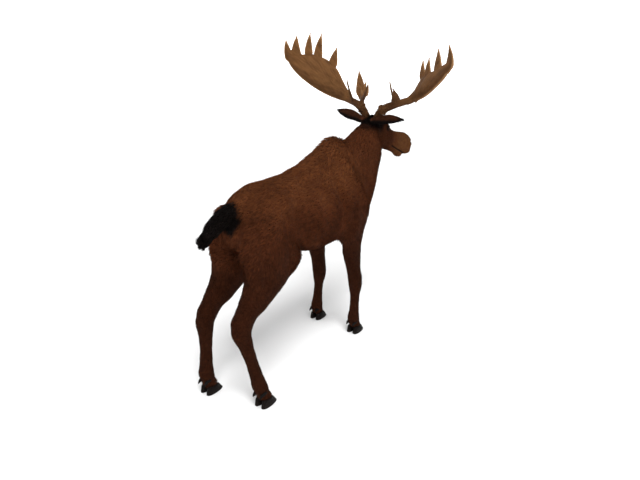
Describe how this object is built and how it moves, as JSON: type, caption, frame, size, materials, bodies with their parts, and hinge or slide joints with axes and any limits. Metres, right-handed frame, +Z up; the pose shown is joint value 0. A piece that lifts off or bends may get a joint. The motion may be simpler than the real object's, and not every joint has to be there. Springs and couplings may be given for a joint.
{
  "type": "bull moose",
  "caption": "Standing bull moose with a shoulder hump, long overhanging muzzle, broad palmed antlers, long ears and cloven hooves, in a still pose.",
  "frame": {"origin": "on the floor under the middle of the animal's overall box", "axes": "+X towards the head, +Y to the animal's left, +Z up"},
  "size_m": [3.0046, 2.0536, 3.0172],
  "materials": {
    "coat": "matt reddish brown hair, greyer and longer over the hump and neck, paler on the muzzle",
    "leg": "matt short brown hair lying close to the bone",
    "black": "matt blackish hair",
    "antler": "hard tan-brown bone, grooved and satin, polished and paler at the tips",
    "hoof": "blackish horn with fine growth rings, satin",
    "eye": "wet, very dark brown"
  },
  "bodies": {
    "root": {"head": "coat", "lower_jaw": "coat", "neck": "coat", "trunk": "coat", "bell": "coat", "tail": "black", "ear_left": "coat", "ear_right": "coat", "eye_left": "eye", "eye_right": "eye", "antler_beam_left": "antler", "antler_palm_left": "antler", "antler_brow_left": "antler", "antler_beam_right": "antler", "antler_palm_right": "antler", "antler_brow_right": "antler", "thigh_hind_left": "coat", "shank_hind_left": "coat", "cannon_hind_left": "leg", "foot_hind_left": "leg", "hoof_hind_left_left": "hoof", "dewclaw_hind_left_left": "hoof", "hoof_hind_left_right": "hoof", "dewclaw_hind_left_right": "hoof", "thigh_hind_right": "coat", "shank_hind_right": "coat", "cannon_hind_right": "leg", "foot_hind_right": "leg", "hoof_hind_right_left": "hoof", "dewclaw_hind_right_left": "hoof", "hoof_hind_right_right": "hoof", "dewclaw_hind_right_right": "hoof", "shoulder_fore_left": "coat", "shank_fore_left": "coat", "cannon_fore_left": "leg", "foot_fore_left": "leg", "hoof_fore_left_left": "hoof", "dewclaw_fore_left_left": "hoof", "hoof_fore_left_right": "hoof", "dewclaw_fore_left_right": "hoof", "shoulder_fore_right": "coat", "shank_fore_right": "coat", "cannon_fore_right": "leg", "foot_fore_right": "leg", "hoof_fore_right_left": "hoof", "dewclaw_fore_right_left": "hoof", "hoof_fore_right_right": "hoof", "dewclaw_fore_right_right": "hoof"}
  },
  "joints": []
}
